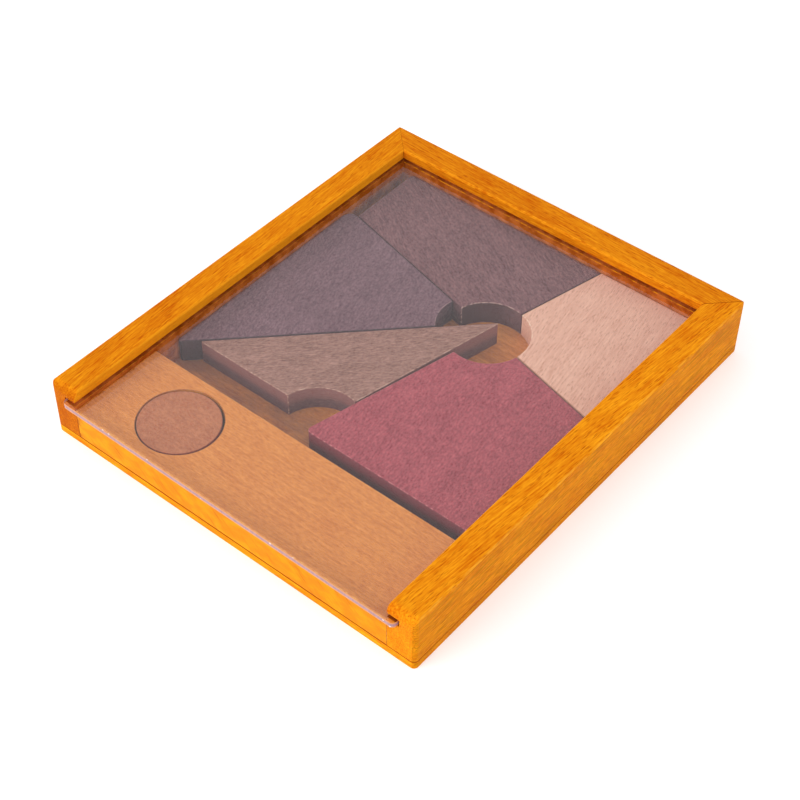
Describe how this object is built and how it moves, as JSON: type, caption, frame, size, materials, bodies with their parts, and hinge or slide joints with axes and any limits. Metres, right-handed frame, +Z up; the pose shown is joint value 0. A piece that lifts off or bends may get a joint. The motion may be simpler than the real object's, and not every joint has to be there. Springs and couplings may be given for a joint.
{
  "type": "tile packing puzzle",
  "caption": "Flat wooden packing puzzle: a mitred tray of stained, notched tiles under a clear sliding lid, with a round disc stored in a front board.",
  "frame": {"origin": "centre of the tray's underside, on the surface it rests on", "axes": "+Z up; +Y towards the mitred back; +X to the right along the front; the lid slides out along -Y"},
  "size_m": [0.1304, 0.153, 0.0195],
  "materials": {
    "tray_beech": "honey-orange satin lacquer over beech",
    "board_beech": "satin lacquer over beech",
    "disc_tan": "tan stain on beech, satin",
    "tile_slate": "purple-grey stain on beech, matt",
    "tile_umber": "brown stain on beech, matt",
    "tile_natural": "unstained pale beech, satin",
    "tile_rose": "red stain on beech, matt",
    "tile_taupe": "taupe stain on beech, matt",
    "clear_acrylic": "clear polished acrylic sheet"
  },
  "bodies": {
    "tray": {"bottom_panel": "tray_beech", "left_rail": "tray_beech", "right_rail": "tray_beech", "back_rail": "tray_beech", "front_board": "board_beech"},
    "lid": {"clear_lid": "clear_acrylic"},
    "disc": {"storage_disc": "disc_tan"},
    "left_tile": {"tile_left": "tile_slate"},
    "back_tile": {"tile_back": "tile_umber"},
    "right_tile": {"tile_right": "tile_natural"},
    "front_tile": {"tile_front": "tile_rose"},
    "wedge_tile": {"tile_wedge": "tile_taupe"}
  },
  "joints": [
    {"name": "lid_slide", "type": "slide", "parent": "tray", "child": "lid", "axis": [0, -1, 0], "range_m": [0, 0.14]},
    {"name": "disc_spin", "type": "hinge", "parent": "tray", "child": "disc", "pos_m": [-0.03112, -0.0603, 0.0046], "axis": [0, 0, 1], "continuous": true},
    {"name": "front_tile_shift", "type": "slide", "parent": "tray", "child": "front_tile", "axis": [0, -1, 0], "range_m": [0, 0.0049]},
    {"name": "right_tile_shift", "type": "slide", "parent": "tray", "child": "right_tile", "axis": [0, -1, 0], "range_m": [0, 0.0049]},
    {"name": "back_tile_shift", "type": "slide", "parent": "tray", "child": "back_tile", "axis": [0, -1, 0], "range_m": [0, 0.0049]},
    {"name": "left_tile_shift", "type": "slide", "parent": "tray", "child": "left_tile", "axis": [0, -1, 0], "range_m": [0, 0.0049]},
    {"name": "wedge_tile_slide", "type": "slide", "parent": "front_tile", "child": "wedge_tile", "axis": [-0.7071, -0.7071, 0], "range_m": [0, 0.0078]}
  ],
  "couplings": [
    {"joint": "right_tile_shift", "follows": "front_tile_shift", "ratio": 1},
    {"joint": "back_tile_shift", "follows": "front_tile_shift", "ratio": 1},
    {"joint": "left_tile_shift", "follows": "front_tile_shift", "ratio": 1}
  ]
}
